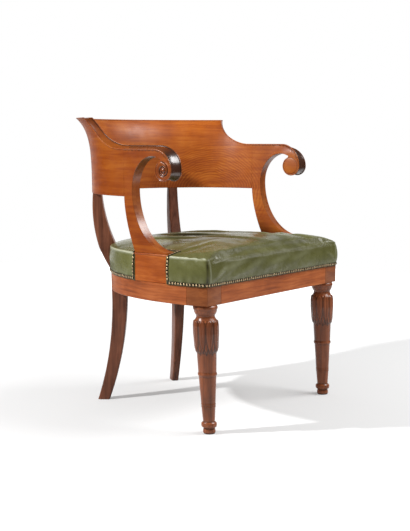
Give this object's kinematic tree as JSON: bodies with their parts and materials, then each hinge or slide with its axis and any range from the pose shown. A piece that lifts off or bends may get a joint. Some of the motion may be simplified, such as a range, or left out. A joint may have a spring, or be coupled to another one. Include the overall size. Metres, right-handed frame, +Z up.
{
  "type": "desk armchair",
  "caption": "Desk armchair with a horseshoe back that steps down to scrolled arms, turned front legs, sabre rear legs and a stuffed leather seat.",
  "frame": {"origin": "on the floor, under the middle of the chair's box", "axes": "+Z up, the front of the chair faces -Y, and +X is the side that the node names call right: on the right for someone who looks at the chair's front"},
  "size_m": [0.649, 0.6072, 0.8],
  "materials": {
    "mahogany": "French polish, warm orange brown",
    "dark_mahogany": "French polish, dark red brown",
    "beech": "plain, unpolished",
    "leather": "worn and glossy, olive green",
    "horsehair": "matt",
    "hessian": "matt, coarse weave",
    "webbing": "matt, woven strap",
    "steel": "plain"
  },
  "bodies": {
    "root": {"front_left_leg": "mahogany", "rear_left_leg": "dark_mahogany", "left_side_rail": "mahogany", "left_wing_panel": "mahogany", "left_arm": "mahogany", "left_arm_block": "mahogany", "left_back_tongue": "beech", "left_arm_tongue": "beech", "front_left_corner_block": "beech", "front_left_corner_screw_1": "steel", "front_left_corner_screw_2": "steel", "rear_left_corner_block": "beech", "rear_left_corner_screw_1": "steel", "rear_left_corner_screw_2": "steel", "left_arm_block_screw_1": "steel", "left_arm_block_screw_2": "steel", "front_right_leg": "mahogany", "rear_right_leg": "dark_mahogany", "right_side_rail": "mahogany", "right_wing_panel": "mahogany", "right_arm": "mahogany", "right_arm_block": "mahogany", "right_back_tongue": "beech", "right_arm_tongue": "beech", "front_right_corner_block": "beech", "front_right_corner_screw_1": "steel", "front_right_corner_screw_2": "steel", "rear_right_corner_block": "beech", "rear_right_corner_screw_1": "steel", "rear_right_corner_screw_2": "steel", "right_arm_block_screw_1": "steel", "right_arm_block_screw_2": "steel", "front_rail": "mahogany", "rear_rail": "mahogany", "back_panel": "mahogany", "long_webbing_1": "webbing", "long_webbing_2": "webbing", "long_webbing_3": "webbing", "long_webbing_4": "webbing", "cross_webbing_1": "webbing", "cross_webbing_2": "webbing", "cross_webbing_3": "webbing", "seat_hessian": "hessian", "seat_stuffing": "horsehair", "seat_cover": "leather"}
  },
  "joints": []
}
